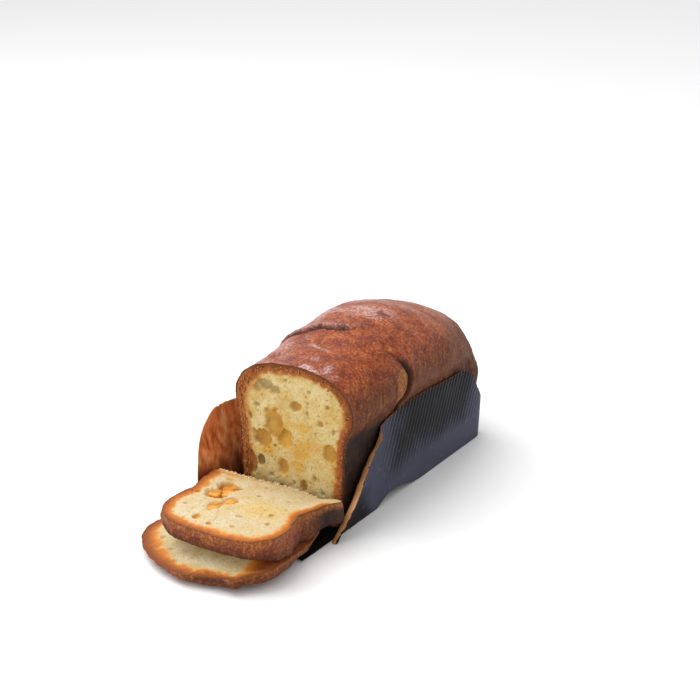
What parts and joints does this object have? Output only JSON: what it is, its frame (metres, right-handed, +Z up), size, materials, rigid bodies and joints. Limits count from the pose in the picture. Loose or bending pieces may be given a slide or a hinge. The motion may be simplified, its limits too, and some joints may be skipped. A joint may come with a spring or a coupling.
{
  "type": "part-sliced loaf cake in a paper baking mould",
  "caption": "Tall sweet loaf cake cut across at one end, in a torn-open corrugated paper mould, with a slice lying on the rounded end piece in front.",
  "frame": {"origin": "middle of the footprint, on the surface that the mould stands on", "axes": "+Z up, +Y along the loaf from the slices to the rear of the mould, +X to the right seen from the slices"},
  "size_m": [0.1088, 0.2972, 0.1157],
  "materials": {
    "loaf_crust": "glazed brown crust with a pale cut face",
    "cake_crumb": "open crumb with a baked rim",
    "heel_crust": "matte crust with a pale cut face",
    "mould_floor_paper": "dark baking paper, matte",
    "mould_wall_paper": "dark pleated baking paper with a dull sheen"
  },
  "bodies": {
    "root": {"cake_loaf": "loaf_crust", "slice_upper": "cake_crumb", "slice_heel": "heel_crust", "mould_floor": "mould_floor_paper", "mould_wall": "mould_wall_paper"}
  },
  "joints": []
}
